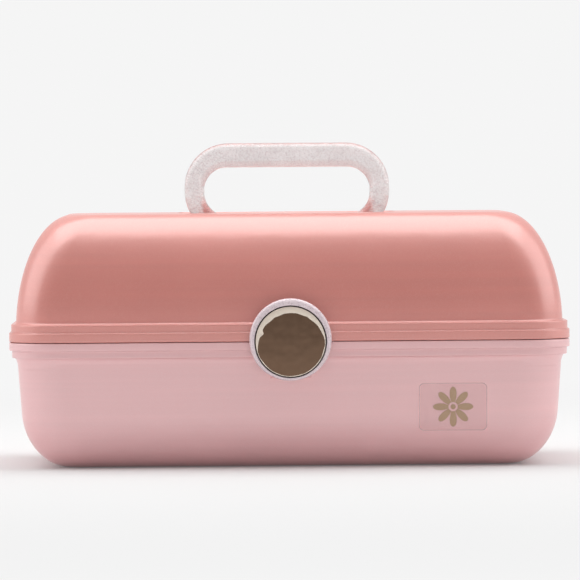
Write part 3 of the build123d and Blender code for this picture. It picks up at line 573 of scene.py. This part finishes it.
low, high = node_box("mirror_glass")
length, depth = high[0] - low[0], high[1] - low[1]
mirror_x, mirror_y = (low[0] + high[0]) / 2, (low[1] + high[1]) / 2
mirror_corner, mirror_bevel, bevel_rise, least_corner = 0.008, 0.007, 0.0005, 0.0008
flat_inset = 0.044  # an inner ring of points on both faces, so their closing fans stay small
rows = []
for inset, z in ((flat_inset, high[2]), (0.0, high[2]), (0.0, low[2] + bevel_rise),
                 (mirror_bevel, low[2]), (flat_inset, low[2])):
    corner = max(mirror_corner - inset, least_corner)
    x, y = rounded_outline(length - 2 * inset, depth - 2 * inset, corner)
    rows.append(np.stack([mirror_x + x, mirror_y + y, np.full_like(x, z)], -1))
glass = round_surface("mirror_plate", np.array(rows), crease=2.0)

silver, tree = new_material("silvered_glass")
place = add_node(tree, "TexCoord").outputs["Object"]
stretch = add_node(tree, "Mapping", {"Vector": place, "Rotation": (0, 0, 0.5),
                                     "Scale": (18.0, 90.0, 18.0)})
wipes = add_node(tree, "TexNoise", {"Vector": stretch.outputs["Vector"], "Scale": 1.0, "Detail": 4.0})
rough = add_node(tree, "MapRange", {"Value": wipes.outputs["Fac"], "From Min": 0.5, "From Max": 0.8,
                                    "To Min": 0.015, "To Max": 0.09})
tone = add_node(tree, "MixRGB", {"Fac": wipes.outputs["Fac"], "Color1": (0.90, 0.91, 0.91, 1),
                                 "Color2": (0.84, 0.85, 0.85, 1)})
shader = add_node(tree, "BsdfPrincipled", {
    "Base Color": tone.outputs["Color"], "Roughness": rough.outputs["Result"], "Metallic": 1.0})
add_node(tree, "OutputMaterial", {"Surface": shader.outputs["BSDF"]})
fit_piece(glass, silver, "lid", "mirror_glass")

# ---- Front label
# A clear film stuck to the base's front at its right-hand end, with rounded corners and a painted
# highlight along its cut edge, where the film is made less clear. A plain eight-petal rosette is printed
# on it in matt gold ink.
low, high = node_box("front_label")
label_x, label_z = (low[0] + high[0]) / 2, (low[2] + high[2]) / 2
label_length, label_height, label_corner = high[0] - low[0], high[2] - low[2], 0.003
film_thick, under_film = 0.0003, 0.00003
rim_front, rim_z = -0.089, 0.0741
wall_inset, draft, foot_rise, foot_lean = 0.004, 0.07, 0.032, 0.0254


def base_front(z):
    """The base's front at height z: a drafted wall over an elliptic foot."""
    lift = np.clip(1 - z / foot_rise, 0, 1)
    lean = 1 - np.sqrt(1 - lift ** 2)
    return rim_front + wall_inset + draft * (rim_z - z) + foot_lean * lean


# The outline is shrunk to shares of itself and laid on the base's front: the film's face from the
# middle outwards, its rounded edge, and its back towards the middle again.
rings = [(share, film_thick) for share in (0.15, 0.3, 0.45, 0.6, 0.75, 0.88, 0.972, 0.988)]
edge_row = len(rings)
rings += [(1.0, film_thick * 0.7)] + [(share, under_film) for share in (1.0, 0.8, 0.6, 0.4, 0.2)]
share, lift = np.array(rings).T[:, :, None]
x, z = rounded_outline(label_length, label_height, label_corner)
x, z = label_x + share * x, label_z + share * z
label = round_surface("label_film", np.stack([x, base_front(z) - lift, z], -1))
mark_rows(label, "rim", x.shape[1], range(edge_row - 1, edge_row + 1))

rosette_r, eye_r, gap_r = 0.0118, 0.0014, 0.0027
film, tree = new_material("printed_clear_film")
place = add_node(tree, "TexCoord").outputs["Object"]
centred = add_node(tree, "VectorMath", {0: place, 1: (label_x, 0, label_z)}, operation="SUBTRACT")
split = add_node(tree, "SeparateXYZ", {"Vector": centred.outputs[0]})
across, up = split.outputs["X"], split.outputs["Z"]
flat = add_node(tree, "CombineXYZ", {"X": across, "Y": up})
out_from = add_node(tree, "VectorMath", {0: flat.outputs[0]}, operation="LENGTH").outputs["Value"]
bearing = add_node(tree, "Math", {0: up, 1: across}, operation="ARCTAN2")
fourfold = add_node(tree, "Math", {0: bearing.outputs[0], 1: 4.0}, operation="MULTIPLY")
wave = add_node(tree, "Math", {0: fourfold.outputs[0]}, operation="COSINE")
wave = add_node(tree, "Math", {0: wave.outputs[0]}, operation="ABSOLUTE")
wave = add_node(tree, "Math", {0: wave.outputs[0], 1: 0.6}, operation="POWER")
petal = add_node(tree, "Math", {0: wave.outputs[0], 1: rosette_r}, operation="MULTIPLY")
inside = add_node(tree, "Math", {0: petal.outputs[0], 1: out_from}, operation="SUBTRACT")
petals = add_node(tree, "MapRange", {"Value": inside.outputs[0], "From Min": 0.0, "From Max": 0.00012})
clear_middle = add_node(tree, "MapRange", {"Value": out_from, "From Min": gap_r,
                                           "From Max": gap_r + 0.0001})
eye = add_node(tree, "MapRange", {"Value": out_from, "From Min": eye_r + 0.0001, "From Max": eye_r})
petals = add_node(tree, "Math", {0: petals.outputs["Result"], 1: clear_middle.outputs["Result"]},
                  operation="MULTIPLY")
ink = add_node(tree, "Math", {0: petals.outputs[0], 1: eye.outputs["Result"]}, operation="MAXIMUM")
speck = add_node(tree, "TexNoise", {"Vector": place, "Scale": 1800.0, "Detail": 2.0})
gold = add_node(tree, "MixRGB", {"Fac": speck.outputs["Fac"], "Color1": (0.47, 0.31, 0.20, 1),
                                 "Color2": (0.59, 0.42, 0.29, 1)})
tone = add_node(tree, "MixRGB", {"Fac": ink.outputs[0], "Color1": (0.90, 0.72, 0.72, 1),
                                 "Color2": gold.outputs["Color"]})
rim = add_node(tree, "Attribute", attribute_name="rim").outputs["Fac"]
# Painted highlight: the film's rim rows are made less clear, so its cut edge shows pale.
edge_highlight = add_node(tree, "MapRange", {"Value": rim, "To Min": 0.10, "To Max": 0.42})
solid = add_node(tree, "Math", {0: ink.outputs[0], 1: edge_highlight.outputs["Result"]}, operation="MAXIMUM")
metal = add_node(tree, "Math", {0: ink.outputs[0], 1: 0.4}, operation="MULTIPLY")
rough = add_node(tree, "MapRange", {"Value": ink.outputs[0], "To Min": 0.18, "To Max": 0.45})
shader = add_node(tree, "BsdfPrincipled", {
    "Base Color": tone.outputs["Color"], "Roughness": rough.outputs["Result"],
    "Metallic": metal.outputs[0], "Alpha": solid.outputs[0]})
add_node(tree, "OutputMaterial", {"Surface": shader.outputs["BSDF"]})
fit_piece(label, film, "base", "front_label")
